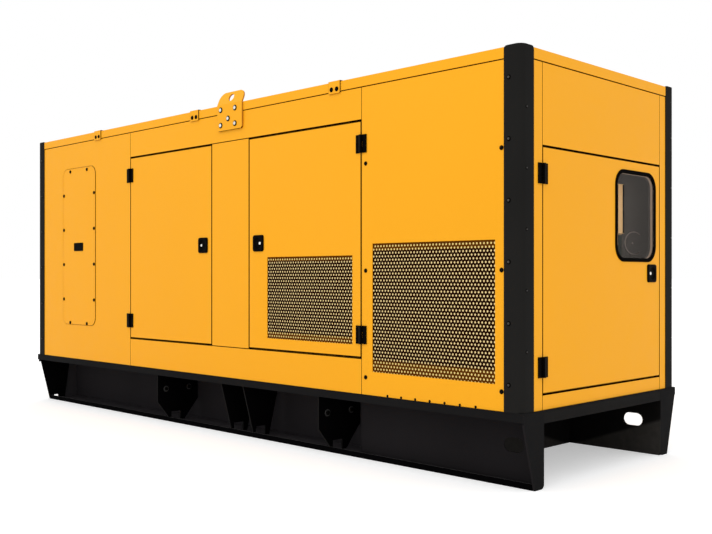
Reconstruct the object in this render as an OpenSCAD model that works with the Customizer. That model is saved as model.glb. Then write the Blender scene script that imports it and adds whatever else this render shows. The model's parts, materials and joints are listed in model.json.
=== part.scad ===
// Enclosed diesel generator set: a sound-proofed housing on a fabricated steel base.
// +X points to the end with the single door, -Y to the long side with two doors,
// +Z up. The origin is on the ground under the middle of the housing.
// Distances along the long sides are measured from the door end, and depths on
// the long sides from the outer face of the corner posts.

/* [Overall] */
// Length over the corner posts
body_l = 5045; // [4900:5:6100]
// Width over the corner posts
body_w = 1616; // [1600:2:1960]
// Height of the base frame
base_h = 396; // [320:2:480]
// Height of the walls above the base
wall_h = 1766; // [1740:1:2130]
// Height of the cap around the roof
cap_h = 62; // [45:1:85]

/* [Housing] */
// Width of each corner post's two flanges
post_flange = 108; // [90:1:130]
// Radius of a corner post's outer edge
post_r = 40; // [20:1:44]
// Depth of the walls and posts
wall_t = 40; // [30:1:55]
// How far the walls lie behind the corner posts' outer face
wall_inset = 5; // [2:0.5:10]
// How far the roof cap lies behind the corner posts' outer face
cap_inset = 2; // [1:0.5:4]
// How far the corner posts stand above the roof cap
post_rise = 6; // [0:1:12]
// Visible joint between two fixed panels
panel_gap = 3; // [1:0.5:5]

/* [Long side] */
// Width of the panel with the large grille, from the corner
inlet_bay_w = 1109; // [1050:1:1250]
// Width of each side door's opening
side_door_w = 1031; // [900:1:1100]
// Width of the fixed panel between the two side doors
pillar_w = 399; // [340:1:480]
// Height of the wall strip under the side doors
side_sill_h = 202; // [150:1:240]
// Height of the side doors' openings
side_door_h = 1381; // [1200:1:1440]
// Large grille: distance from the corner
inlet_s = 165; // [150:1:200]
// Large grille: width
inlet_w = 858; // [700:1:870]
// Large grille: height of its lower edge in the wall
inlet_z = 134; // [100:1:180]
// Large grille: height
inlet_h = 731; // [600:1:880]
// Door grille: distance of its nearer edge from the hinges
door_grille_s = 76; // [70:1:120]
// Door grille: width
door_grille_w = 769; // [640:1:790]
// Door grille: height of its lower edge in the wall
door_grille_z = 283; // [260:1:320]
// Door grille: height
door_grille_h = 517; // [430:1:620]
// Access cover: distance from the nearest door
cover_s = 512; // [300:1:560]
// Access cover: width
cover_w = 525; // [440:1:600]
// Access cover: height of its lower edge in the wall
cover_z = 279; // [240:1:320]
// Access cover: height
cover_h = 1286; // [1060:1:1400]

/* [Door end] */
// Wall strip between the near corner and the end door's hinges
end_jamb_w = 190; // [170:1:210]
// Width of the end door's opening
end_door_w = 1248; // [1100:1:1260]
// Height of the wall strip under the end door
end_sill_h = 74; // [60:1:90]
// Height of the end door's opening
end_door_h = 1273; // [1100:1:1400]
// Window: distance of its nearer edge from the hinges
window_s = 722; // [600:1:730]
// Window: width over its rubber seal
window_w = 471; // [400:1:500]
// Window: height of its lower edge in the wall
window_z = 762; // [700:1:780]
// Window: height over its rubber seal
window_h = 526; // [440:1:540]
// Width of the window's rubber seal
seal_w = 22; // [15:1:35]

/* [Doors and fittings] */
// Thickness of the doors
door_t = 34; // [25:1:34]
// Upright gap between a door and its frame
side_gap = 6; // [6:0.5:10]
// Level gap between a door and its frame
level_gap = 12; // [8:0.5:16]
// Height of a hinge
hinge_h = 105; // [80:1:130]
// Width of one hinge leaf, from the pin's centre
leaf_w = 42; // [32:1:50]
// Thickness of a hinge leaf
leaf_t = 6; // [4:0.5:8]
// Radius of a hinge barrel
barrel_r = 10; // [8:0.5:12]
// Radius of a hinge pin
pin_r = 4; // [3:0.5:6]
// Running clearance of a hinge pin
pin_clear = 0.05; // [0.02:0.01:0.1]
// Side of a door latch's square plate
latch_size = 106; // [88:1:120]
// Thickness of a door latch's plate
latch_t = 8; // [6:0.5:12]
// Width of the access cover's handle
handle_w = 145; // [120:1:180]
// Height of the access cover's handle
handle_h = 67; // [56:1:80]
// Depth of the access cover's handle
handle_t = 4; // [3:1:8]

/* [Base frame] */
// How far the base reaches past the housing at each end
base_out = 6; // [0:1:12]
// Height of the edge strip along the long sides
side_band_h = 46; // [38:1:56]
// Height of the edge strip across the ends
end_band_h = 66; // [55:1:80]
// Thickness of the base's steel plates
plate_t = 8; // [6:0.5:12]
// Height of the runners' upturned outer edge
runner_h = 33; // [27:1:40]
// Depth of the runners' outer edge
runner_y = 105; // [90:1:120]
// Depth of the narrow rail's web, next to the door end
web_y = 180; // [155:1:205]
// Depth of the wide rail's web, along the tank
tank_web_y = 364; // [310:1:430]
// Length of the narrow rail, from the door end
narrow_l = 1275; // [1080:1:1430]
// Distance of the cross wall from the end of the base
cross_s = 620; // [520:1:740]
// Drag hole: distance of its centre from the end
drag_s = 175; // [150:1:200]
// Drag hole: height of its centre
drag_z = 200; // [184:1:214]
// Drag hole: length
drag_l = 126; // [100:1:140]
// Drag hole: height
drag_h = 76; // [60:1:84]
// Thickness of the gusset plates
gusset_t = 10; // [8:1:16]

/* [Roof fittings] */
// Width of a roof bracket
bracket_w = 100; // [80:1:120]
// Height of a roof bracket's face below the roof seam
bracket_lap = 8; // [4:1:20]
// Depth of a roof bracket's flange over the roof
bracket_reach = 140; // [110:2:170]
// Width of a lifting plate
lift_w = 268; // [220:2:320]
// Thickness of a lifting plate
lift_t = 10; // [8:0.5:14]
// Height of a lifting plate below the roof seam
lift_drop = 112; // [90:1:140]
// Length of a lifting plate's upper part, which leans in over the roof
lift_lean_l = 90; // [76:1:108]
// Angle at which the upper part leans in
lift_lean = 22; // [0:1:30]
// Radius of a lifting plate's upper corners
lift_r = 60; // [50:1:72]
// Diameter of the eye in a lifting plate
eye_d = 52; // [42:1:62]

/* [Machinery] */
// Length of the engine block
engine_l = 1560; // [1300:5:1800]
// Width of the engine block
engine_w = 620; // [520:2:740]
// Height of the engine's crankcase
engine_h = 620; // [520:2:740]
// Diameter of the alternator
alternator_d = 640; // [540:2:740]
// Length of the alternator
alternator_l = 820; // [700:2:960]
// Width of the engine's cylinder heads
head_w = 340; // [280:2:400]
// Height of the engine's cylinder heads
head_h = 310; // [260:2:360]
// Width of the engine's sump
sump_w = 420; // [350:2:500]
// Width of the alternator's foot
saddle_w = 450; // [380:2:540]
// Width of the radiator
radiator_w = 1240; // [1040:2:1400]
// Height of the radiator
radiator_h = 1380; // [1150:2:1560]
// Thickness of the radiator
radiator_t = 190; // [160:2:230]
// Width of the control cabinet
cabinet_w = 724; // [600:2:730]
// Height of the control cabinet, from the deck
cabinet_h = 1475; // [1240:2:1660]
// Depth of the control cabinet
cabinet_d = 240; // [200:2:280]
// Width of the air outlet in the radiator end
outlet_w = 1120; // [940:2:1300]
// Height of the air outlet
outlet_h = 1180; // [990:2:1400]
// Height of the air outlet's lower edge in the wall
outlet_z = 180; // [150:2:210]

/* [Hidden] */
$fn = 48;

half_l = body_l / 2;
half_w = body_w / 2;
base_half_l = half_l + base_out;
seam_z = base_h + wall_h;
roof_z = seam_z + cap_h;
deck_z = base_h - plate_t;

// places along the long side, from the door end
door2_s0 = inlet_bay_w;
door2_s1 = door2_s0 + side_door_w;
door1_s0 = door2_s1 + pillar_w;
door1_s1 = door1_s0 + side_door_w;
side_door_z0 = base_h + side_sill_h;
side_door_z1 = side_door_z0 + side_door_h;

// places across the door end, from the front
end_door_y0 = end_jamb_w;
end_door_y1 = end_door_y0 + end_door_w;
end_door_z0 = base_h + end_sill_h;
end_door_z1 = end_door_z0 + end_door_h;

// door stops inside the frames
stop_lap = 30;
stop_t = 15;
inner_post_t = 45;

// hinges
hinge_out = barrel_r + 0.5;
knuckle_gap = 0.5;
side_hinge_low = 140;
side_hinge_high = 142;
end_hinge_low = 144;
end_hinge_high = 146;
side_latch_edge = 100;
side_latch_z = 891;
end_latch_edge = 104;
end_latch_z = 696;
latch_r = 14;

grille_t = 3;
grille_inset = 4;
grille_lap = 20;
cover_t = 3;
cover_r = 70;
window_r = 95;
glass_t = 8;
glass_inset = 4;
seal_proud = 6;
post_corner_r = 18;

// groove under the roof cap's outer edge
groove_h = 5;
groove_d = 12;

bracket_t = 6;
bracket_r = 10;
bracket_places = [1328, 2734, 4041];
lift_s = 2330;
lift_chamfer = 12;
eye_drop = 46;

// gussets along a rail, by distance from the door end: shields, then tapered plates
shield_places = [1483, 3213];
taper_places = [2226, 2462];
shield_waist = 151;
shield_foot = 137;
taper_top = 340;
end_gusset_top = 300;
end_gusset_foot = 138;
notch_w = 80;
notch_h = 71;
notch_y = 167;
end_notch_w = 40;
end_notch_h = 33;
end_notch_y = 164;
end_plate_r = 25;
end_wall_y = 190;

machine_foot = 90;
engine_s = 1700;
radiator_gap = 420;
cabinet_gap = 130;
cabinet_s = 820;
head_inset = 90;
handle_s = 192;
handle_z = 883;

// ---------- helpers ----------

// a box between two corners
module span(lo, hi) {
    translate(lo) cube(hi - lo);
}

// a slab of a long side, from s0 to s1, z0 to z1 and between two depths
module side_slab(s0, s1, z0, z1, d0, d1) {
    span([half_l - s1, d0 - half_w, z0], [half_l - s0, d1 - half_w, z1]);
}

// a slab of the door end, between two depths from its outer face
module end_slab(y0, y1, z0, z1, d0, d1) {
    span([half_l - d1, y0 - half_w, z0], [half_l - d0, y1 - half_w, z1]);
}

// its children on both long sides
module both_sides() {
    children();
    mirror([0, 1, 0]) children();
}

// its children at both ends
module both_ends() {
    children();
    mirror([1, 0, 0]) children();
}

// a rounded rectangle with one corner at the origin
module round_rect(w, h, r) {
    union() {
        translate([r, 0]) square([w - 2 * r, h]);
        translate([0, r]) square([w, h - 2 * r]);
        for (x = [r, w - r], y = [r, h - r])
            translate([x, y]) circle(r);
    }
}

// stands a flat shape up on the front: its x runs along +X, its y up, and it
// fills the depths from d0 to d1
module stand_front(s, z, d0, d1) {
    translate([half_l - s, d1 - half_w, z])
        rotate([90, 0, 0])
            linear_extrude(d1 - d0) children();
}

// the same on the door end: its x runs along +Y
module stand_end(y, z, d0, d1) {
    translate([half_l - d1, y - half_w, z])
        rotate([90, 0, 90])
            linear_extrude(d1 - d0) children();
}

// an upright plate across the base at distance s: its x is the depth, its y up
module cross_plate(s, t) {
    translate([half_l - s, -half_w, 0])
        rotate([90, 0, 90])
            linear_extrude(t) children();
}

// ---------- base frame ----------

module deck_plate() {
    color("#242322") span([-base_half_l, -half_w, deck_z], [base_half_l, half_w, base_h]);
}

// closes the rail's open side at the door end, with a rounded foot
module rail_end_outline() {
    inner = web_y + plate_t;
    difference() {
        polygon([[plate_t, deck_z], [inner, deck_z], [inner, 0], [runner_y, 0],
                 [plate_t, deck_z - side_band_h]]);
        difference() {
            translate([inner - end_plate_r, -1]) square([end_plate_r + 1, end_plate_r + 1]);
            translate([inner - end_plate_r, end_plate_r]) circle(end_plate_r);
        }
    }
}

module drag_hole_outline() {
    r = drag_h / 2;
    union() {
        for (x = [r, drag_l - r])
            translate([x, r]) circle(r);
        translate([r, 0]) square([drag_l - drag_h, drag_h]);
    }
}

// the rail's two ends, by distance from the housing's door end
rail_s0 = -base_out;
rail_s1 = body_l + base_out;

module narrow_web() {
    difference() {
        side_slab(rail_s0 + gusset_t, narrow_l, plate_t, deck_z, web_y, web_y + plate_t);
        stand_front(drag_s + drag_l / 2, drag_z - drag_h / 2, web_y - 1, web_y + plate_t + 1)
            drag_hole_outline();
    }
}

// the runner on the ground, a flat strip with an upturned outer edge
module runner(s0, s1, inner_y) {
    side_slab(s0, s1, 0, plate_t, runner_y, inner_y);
    side_slab(s0, s1, 0, runner_h, runner_y, runner_y + plate_t);
}

module rail() {
    tank_y1 = tank_web_y + plate_t;
    wall_s = rail_s1 - plate_t;
    union() {
        side_slab(rail_s0, rail_s1, deck_z - side_band_h + plate_t, deck_z, 0, plate_t);
        cross_plate(rail_s0 + gusset_t, gusset_t) rail_end_outline();
        runner(rail_s0 + gusset_t, narrow_l, web_y + plate_t);
        narrow_web();
        side_slab(narrow_l, narrow_l + plate_t, 0, deck_z, web_y, tank_y1);
        runner(narrow_l, wall_s - gusset_t, tank_y1);
        side_slab(narrow_l, wall_s, plate_t, deck_z, tank_web_y, tank_y1);
    }
}

module front_rail() {
    color("#242122") rail();
}

module back_rail() {
    color("#242122") mirror([0, 1, 0]) rail();
}

// the deep edge strips across both ends
module end_beams() {
    z0 = base_h - end_band_h;
    y1 = web_y + plate_t - half_w;
    y2 = plate_t - half_w;
    color("#242322") {
        span([base_half_l - plate_t, y1, z0], [base_half_l, -y1, deck_z]);
        span([-base_half_l, y2, z0], [plate_t - base_half_l, -y2, deck_z]);
    }
}

module foot_notch(y, w, h) {
    translate([y - w / 2, -1]) square([w, h + 1]);
}

// the foot shared by the gussets: it stands on the runner, behind the upturned edge
function gusset_foot(w) =
    [[runner_y + w, plate_t], [runner_y + plate_t, plate_t], [runner_y + plate_t, runner_h],
     [runner_y, runner_h]];

module shield_outline() {
    difference() {
        polygon(concat([[plate_t, deck_z], [tank_web_y, deck_z], [tank_web_y, shield_waist]],
                       gusset_foot(shield_foot), [[plate_t, shield_waist]]));
        foot_notch(notch_y, notch_w, notch_h);
    }
}

module taper_outline() {
    difference() {
        polygon(concat([[plate_t, deck_z], [taper_top, deck_z]], gusset_foot(shield_foot)));
        foot_notch(notch_y, notch_w, notch_h);
    }
}

// the gusset at the radiator end, which closes the runner's end
module end_gusset_outline() {
    difference() {
        polygon([[plate_t, deck_z], [end_gusset_top, deck_z], [runner_y + end_gusset_foot, 0],
                 [runner_y, 0]]);
        foot_notch(end_notch_y, end_notch_w, end_notch_h);
    }
}

module side_gussets() {
    for (s = shield_places)
        cross_plate(s, gusset_t) shield_outline();
    for (s = taper_places)
        cross_plate(s, gusset_t) taper_outline();
    cross_plate(rail_s1 - plate_t, gusset_t) end_gusset_outline();
}

module base_gussets() {
    color("#0c0b0c") both_sides() side_gussets();
}

// walls that close the bays at both ends, and one across the radiator end
module cross_walls() {
    y1 = web_y + plate_t - half_w;
    y2 = tank_web_y + plate_t - half_w;
    y3 = end_wall_y - half_w;
    color("#121112") {
        span([half_l - cross_s - plate_t, y1, 0], [half_l - cross_s, -y1, deck_z]);
        span([cross_s - half_l, y2, runner_h], [cross_s - half_l + plate_t, -y2, deck_z]);
        span([-base_half_l, y3, 0], [plate_t - base_half_l, -y3, base_h - end_band_h]);
    }
}

module fuel_tank() {
    y = tank_web_y + plate_t - half_w;
    color("#1a191a")
        span([cross_s + plate_t - half_l, y, runner_h], [half_l - narrow_l, -y, deck_z]);
}

// ---------- posts ----------

// an L with a rounded outer edge, its outer corner at the origin
module post_outline() {
    depth = wall_inset + wall_t;
    union() {
        translate([post_r, post_r]) circle(post_r);
        translate([post_r, 0]) square([post_flange - post_r, depth]);
        translate([0, post_r]) square([depth, post_flange - post_r]);
    }
}

// rounds off the upper corner of the flange that runs along X
module flange_corner_cut(top) {
    depth = wall_inset + wall_t;
    translate([post_flange - post_corner_r, -1, top - post_corner_r]) difference() {
        cube([post_corner_r + 1, depth + 2, post_corner_r + 1]);
        rotate([-90, 0, 0]) cylinder(h = depth + 2, r = post_corner_r);
    }
}

module corner_post() {
    top = roof_z + post_rise - base_h;
    color("#232220")
        translate([-half_l, -half_w, base_h]) difference() {
            linear_extrude(top) post_outline();
            flange_corner_cut(top);
            mirror([1, -1, 0]) flange_corner_cut(top);
        }
}

module front_posts() {
    both_ends() corner_post();
}

module back_posts() {
    mirror([0, 1, 0]) front_posts();
}

// ---------- long sides ----------

module long_panel(s0, s1) {
    side_slab(s0, s1, base_h, seam_z, wall_inset, wall_inset + wall_t);
}

module left_panel() {
    long_panel(door1_s1 + panel_gap / 2, body_l - post_flange);
}

module front_left_panel() {
    color("#fbb034") left_panel();
}

// a raised cover screwed over an opening in the left panel
module access_cover() {
    stand_front(door1_s1 + cover_s + cover_w, base_h + cover_z, wall_inset - cover_t, wall_inset)
        round_rect(cover_w, cover_h, cover_r);
}

module front_left_cover() {
    color("#fbb034") access_cover();
}

// the strip over the doors, with a stop that the doors close against
module header() {
    d1 = wall_inset + wall_t;
    s0 = door2_s0 + panel_gap / 2;
    s1 = door1_s1 - panel_gap / 2;
    union() {
        side_slab(s0, s1, side_door_z1, seam_z, wall_inset, d1);
        side_slab(s0, s1, side_door_z1 - stop_lap, seam_z, d1, d1 + stop_t);
    }
}

module sill() {
    d1 = wall_inset + wall_t;
    s0 = door2_s0 + panel_gap / 2;
    s1 = door1_s1 - panel_gap / 2;
    union() {
        side_slab(s0, s1, base_h, side_door_z0, wall_inset, d1);
        side_slab(s0, s1, base_h, side_door_z0 + stop_lap, d1, d1 + stop_t);
    }
}

module pillar() {
    side_slab(door2_s1, door1_s0, side_door_z0 + panel_gap, side_door_z1 - panel_gap,
              wall_inset, wall_inset + wall_t);
}

module front_header() {
    color("#fbb034") header();
}

module front_sill() {
    color("#fbb034") sill();
}

module front_pillar() {
    color("#fbb034") pillar();
}

// the frame's upright behind the pillar, wider than it so that both doors close on it
module front_inner_post() {
    d0 = wall_inset + wall_t;
    color("#232220")
        side_slab(door2_s1 - stop_lap, door1_s0 + stop_lap, side_door_z0 + stop_lap,
                  side_door_z1 - stop_lap, d0, d0 + inner_post_t);
}

module inlet_panel() {
    difference() {
        long_panel(post_flange, door2_s0 - panel_gap / 2);
        side_slab(inlet_s, inlet_s + inlet_w, base_h + inlet_z, base_h + inlet_z + inlet_h,
                  -1, wall_inset + wall_t + 1);
    }
}

// a perforated sheet set just behind the face of its opening
module inlet_sheet() {
    d0 = wall_inset + grille_inset;
    side_slab(inlet_s, inlet_s + inlet_w, base_h + inlet_z, base_h + inlet_z + inlet_h,
              d0, d0 + grille_t);
}

module front_right_panel() {
    color("#fbb034") inlet_panel();
}

module front_right_grille() {
    color("#6a5228") inlet_sheet();
}

// ---------- side doors ----------

module side_door_slab(s0) {
    side_slab(s0 + side_gap, s0 + side_door_w - side_gap, side_door_z0 + level_gap,
              side_door_z1 - level_gap, wall_inset, wall_inset + door_t);
}

module door_grille_span(d0, d1) {
    s0 = door2_s0 + door_grille_s;
    side_slab(s0, s0 + door_grille_w, base_h + door_grille_z,
              base_h + door_grille_z + door_grille_h, d0, d1);
}

module door_1() {
    side_door_slab(door1_s0);
}

module door_2() {
    difference() {
        side_door_slab(door2_s0);
        door_grille_span(-1, wall_inset + door_t + 1);
    }
}

module door_2_sheet() {
    d0 = wall_inset + grille_inset;
    door_grille_span(d0, d0 + grille_t);
}

module front_door_1() {
    color("#fbb034") door_1();
}

module front_door_2() {
    color("#fbb034") door_2();
}

module front_door_2_grille() {
    color("#6a5228") door_2_sheet();
}

// ---------- hinges and latches ----------

// Hinge parts stand with the pin at the origin and the panel's face at y = hinge_out.
// The fixed leaf lies towards -X.
module hinge_leaf() {
    leaf_x = barrel_r + 2;
    translate([-leaf_w, hinge_out - leaf_t, -hinge_h / 2])
        cube([leaf_w - leaf_x, leaf_t, hinge_h]);
}

module knuckle(z0, z1) {
    translate([0, 0, z0]) {
        cylinder(h = z1 - z0, r = barrel_r);
        translate([-leaf_w + 1, hinge_out - leaf_t, 0])
            cube([leaf_w - 1, leaf_t - 0.5, z1 - z0]);
    }
}

// two outer knuckles, the pin through all three, and the leaf on the frame
module fixed_hinge_half() {
    third = hinge_h / 3;
    union() {
        hinge_leaf();
        knuckle(-hinge_h / 2, -third / 2 - knuckle_gap);
        knuckle(third / 2 + knuckle_gap, hinge_h / 2);
        translate([0, 0, -hinge_h / 2]) cylinder(h = hinge_h, r = pin_r);
    }
}

// the middle knuckle and the leaf on the door
module moving_hinge_half() {
    third = hinge_h / 3;
    difference() {
        mirror([1, 0, 0]) union() {
            hinge_leaf();
            knuckle(-third / 2, third / 2);
        }
        translate([0, 0, -hinge_h]) cylinder(h = 2 * hinge_h, r = pin_r + pin_clear);
    }
}

// hinge halves of one side door, at their two heights; the pin is at distance s
module side_hinges(s) {
    for (z = [side_door_z0 + side_hinge_low, side_door_z1 - side_hinge_high])
        translate([half_l - s, wall_inset - hinge_out - half_w, z]) children();
}

module end_hinges() {
    for (z = [end_door_z0 + end_hinge_low, end_door_z1 - end_hinge_high])
        translate([half_l - wall_inset + hinge_out, end_door_y0 - half_w, z])
            rotate([0, 0, 90]) children();
}

module latch_plate() {
    union() {
        linear_extrude(latch_t) round_rect(latch_size, latch_size, latch_r);
        translate([latch_size / 2, latch_size / 2, 0]) cylinder(h = latch_t + 8, r = 20);
    }
}

// a latch on a side door: s and z are its centre
module side_latch(s, z) {
    translate([half_l - s - latch_size / 2, wall_inset - half_w, z - latch_size / 2])
        rotate([90, 0, 0]) latch_plate();
}

module door_1_fittings() {
    side_hinges(door1_s1) moving_hinge_half();
    side_latch(door1_s0 + side_latch_edge, base_h + side_latch_z);
}

module door_2_fittings() {
    side_hinges(door2_s0) mirror([1, 0, 0]) moving_hinge_half();
    side_latch(door2_s1 - side_latch_edge, base_h + side_latch_z);
}

module side_fixed_leaves() {
    side_hinges(door1_s1) fixed_hinge_half();
    side_hinges(door2_s0) mirror([1, 0, 0]) fixed_hinge_half();
}

// a flat pull on the access cover
module cover_handle() {
    d1 = wall_inset - cover_t;
    stand_front(door1_s1 + cover_s + handle_s + handle_w, base_h + handle_z, d1 - handle_t, d1)
        round_rect(handle_w, handle_h, 8);
}

module front_door_1_fittings() {
    color("#1d1c1a") door_1_fittings();
}

module front_door_2_fittings() {
    color("#1d1c1a") door_2_fittings();
}

module front_fixed_fittings() {
    color("#1d1c1a") {
        side_fixed_leaves();
        cover_handle();
    }
}

// ---------- door end ----------

module end_jambs() {
    d1 = wall_inset + wall_t;
    color("#fbb034") {
        end_slab(post_flange, end_door_y0 - panel_gap / 2, base_h, seam_z, wall_inset, d1);
        end_slab(end_door_y1 + panel_gap / 2, body_w - post_flange, base_h, seam_z,
                 wall_inset, d1);
    }
}

module end_header() {
    d1 = wall_inset + wall_t;
    color("#fbb034") union() {
        end_slab(end_door_y0 + panel_gap / 2, end_door_y1 - panel_gap / 2, end_door_z1, seam_z,
                 wall_inset, d1);
        end_slab(end_door_y0 + panel_gap / 2, end_door_y1 - panel_gap / 2,
                 end_door_z1 - stop_lap, seam_z, d1, d1 + stop_t);
    }
}

module end_sill() {
    d1 = wall_inset + wall_t;
    color("#fbb034") union() {
        end_slab(end_door_y0 + panel_gap / 2, end_door_y1 - panel_gap / 2, base_h, end_door_z0,
                 wall_inset, d1);
        end_slab(end_door_y0 + panel_gap / 2, end_door_y1 - panel_gap / 2, base_h,
                 end_door_z0 + stop_lap, d1, d1 + stop_t);
    }
}

module window_outline(edge) {
    translate([edge, edge])
        round_rect(window_w - 2 * edge, window_h - 2 * edge, window_r - edge);
}

// a ring or pane in the end door's window
module stand_window(d0, d1) {
    stand_end(end_door_y0 + window_s, base_h + window_z, d0, d1) children();
}

module end_door() {
    color("#fbb034") difference() {
        end_slab(end_door_y0 + side_gap, end_door_y1 - side_gap, end_door_z0 + level_gap,
                 end_door_z1 - level_gap, wall_inset, wall_inset + door_t);
        stand_window(-1, wall_inset + door_t + 1) window_outline(seal_w / 2);
    }
}

// a rubber strip that grips the edge of the door's opening from outside
module end_window_seal() {
    color("#141312") difference() {
        union() {
            stand_window(wall_inset - seal_proud, wall_inset) window_outline(0);
            stand_window(wall_inset - seal_proud, wall_inset + door_t)
                window_outline(seal_w / 2);
        }
        stand_window(-20, wall_inset + door_t + 1) window_outline(seal_w);
    }
}

module end_window_glass() {
    d0 = wall_inset - seal_proud + glass_inset;
    color("#403d3a", 0.6) stand_window(d0, d0 + glass_t) window_outline(seal_w);
}

module end_door_fittings() {
    y = end_door_y1 - end_latch_edge - latch_size / 2;
    color("#1d1c1a") {
        end_hinges() moving_hinge_half();
        translate([half_l - wall_inset, y - half_w, base_h + end_latch_z - latch_size / 2])
            rotate([90, 0, 90]) latch_plate();
    }
}

module end_fixed_leaves() {
    color("#1d1c1a") end_hinges() fixed_hinge_half();
}

// ---------- back ----------

module back_panels() {
    color("#fbb034") mirror([0, 1, 0]) {
        left_panel();
        access_cover();
        inlet_panel();
    }
}

module back_frame() {
    color("#fbb034") mirror([0, 1, 0]) {
        header();
        sill();
        pillar();
    }
}

module back_doors() {
    color("#fbb034") mirror([0, 1, 0]) {
        door_1();
        door_2();
    }
}

module back_grilles() {
    color("#6a5228") mirror([0, 1, 0]) {
        inlet_sheet();
        door_2_sheet();
    }
}

module back_fittings() {
    color("#1d1c1a") mirror([0, 1, 0]) {
        door_1_fittings();
        door_2_fittings();
        side_fixed_leaves();
        cover_handle();
    }
}

// ---------- radiator end ----------

module outlet_span(d0, d1) {
    z0 = base_h + outlet_z;
    span([d0 - half_l, -outlet_w / 2, z0], [d1 - half_l, outlet_w / 2, z0 + outlet_h]);
}

module left_end_panel() {
    y = half_w - post_flange;
    color("#fbb034") difference() {
        span([-half_l + wall_inset, -y, base_h], [-half_l + wall_inset + wall_t, y, seam_z]);
        outlet_span(0, wall_inset + wall_t + 1);
    }
}

module left_end_grille() {
    d0 = wall_inset + grille_inset;
    color("#6a5228") outlet_span(d0, d0 + grille_t);
}

// ---------- roof ----------

// what the roof cap leaves free for the corner posts
module post_corners() {
    both_sides() both_ends()
        translate([-half_l, -half_w, seam_z - 1])
            linear_extrude(cap_h + 2) union() {
                post_outline();
                square(post_r);
            }
}

module roof_cap() {
    x = half_l - cap_inset;
    y = half_w - cap_inset;
    color("#fbb034") difference() {
        union() {
            span([-x, -y, seam_z + groove_h], [x, y, roof_z]);
            span([groove_d - x, groove_d - y, seam_z], [x - groove_d, y - groove_d, roof_z]);
        }
        post_corners();
    }
}

// a plate with its two lower corners rounded
module bracket_outline(h) {
    union() {
        translate([bracket_r, 0]) square([bracket_w - 2 * bracket_r, h]);
        translate([0, bracket_r]) square([bracket_w, h - bracket_r]);
        for (x = [bracket_r, bracket_w - bracket_r])
            translate([x, bracket_r]) circle(bracket_r);
    }
}

// an angle that holds the cap: one flange on its face, the other on the roof
module roof_bracket(s) {
    z0 = seam_z - bracket_lap;
    d0 = cap_inset - bracket_t;
    s0 = s - bracket_w / 2;
    s1 = s + bracket_w / 2;
    union() {
        stand_front(s1, z0, d0, cap_inset) bracket_outline(roof_z + bracket_t - z0);
        side_slab(s0, s1, roof_z, roof_z + bracket_t, d0, bracket_reach);
    }
}

module roof_brackets() {
    color("#fbb034") both_sides()
        for (s = bracket_places) roof_bracket(s);
}

// the plate seen square to its upper part, with round corners and the eye
module lift_outline() {
    difference() {
        union() {
            translate([0, -2 * (cap_h + lift_drop)])
                square([lift_w, 2 * (cap_h + lift_drop) + lift_lean_l - lift_r]);
            translate([lift_r, 0]) square([lift_w - 2 * lift_r, lift_lean_l]);
            for (x = [lift_r, lift_w - lift_r])
                translate([x, lift_lean_l - lift_r]) circle(lift_r);
        }
        translate([lift_w / 2, lift_lean_l - eye_drop]) circle(d = eye_d);
    }
}

// The plate seen from its edge: a flat lower part on the wall, and an upper part
// bent in over the roof. The bend's inner edge is at the origin.
module lift_profile() {
    a = lift_lean;
    top = lift_lean_l + 1;
    polygon([[0, -cap_h - lift_drop], [0, 0],
             [top * sin(a), top * cos(a)],
             [top * sin(a) - lift_t * cos(a), top * cos(a) + lift_t * sin(a)],
             [-lift_t, lift_t * tan(a / 2)], [-lift_t, -cap_h - lift_drop]]);
}

module lift_shape() {
    reach = 2 * (cap_h + lift_drop);
    intersection() {
        translate([-1, 0, 0]) rotate([90, 0, 90]) linear_extrude(lift_w + 2) lift_profile();
        rotate([-lift_lean, 0, 0]) translate([0, reach, 0]) rotate([90, 0, 0])
            linear_extrude(2 * reach) lift_outline();
    }
}

module lifting_plate() {
    cut = lift_chamfer * sqrt(2);
    translate([half_l - lift_s - lift_w / 2, cap_inset - half_w, roof_z]) difference() {
        lift_shape();
        for (x = [0, lift_w])
            translate([x, 0, -cap_h - lift_drop]) rotate([0, 45, 0])
                cube([cut, 3 * lift_t, cut], center = true);
    }
}

module lifting_plates() {
    color("#fbb034") both_sides() lifting_plate();
}

// ---------- machinery ----------

engine_x1 = half_l - engine_s;
engine_x0 = engine_x1 - engine_l;
shaft_z = base_h + machine_foot + engine_h / 2;

// crankcase on its sump, with narrower heads on top
module engine() {
    z0 = base_h + machine_foot;
    z1 = z0 + engine_h;
    color("#c9a13a") union() {
        span([engine_x0 + head_inset, -sump_w / 2, base_h], [engine_x1 - head_inset, sump_w / 2, z0]);
        span([engine_x0, -engine_w / 2, z0], [engine_x1, engine_w / 2, z1]);
        span([engine_x0 + head_inset, -head_w / 2, z1],
             [engine_x1 - head_inset, head_w / 2, z1 + head_h]);
    }
}

module alternator() {
    x1 = engine_x1 + alternator_l;
    color("#8a8d8c") union() {
        translate([engine_x1, 0, shaft_z]) rotate([0, 90, 0])
            cylinder(h = alternator_l, d = alternator_d);
        span([engine_x1, -saddle_w / 2, base_h], [x1, saddle_w / 2, shaft_z]);
    }
}

module radiator() {
    x0 = radiator_gap - half_l;
    color("#1c1c1c")
        span([x0, -radiator_w / 2, base_h], [x0 + radiator_t, radiator_w / 2, base_h + radiator_h]);
}

// the control cabinet stands on the deck behind the end door's window
module control_cabinet() {
    x1 = half_l - cabinet_gap;
    y0 = cabinet_s - half_w;
    color("#45423f")
        span([x1 - cabinet_d, y0, base_h], [x1, y0 + cabinet_w, base_h + cabinet_h]);
}

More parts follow.
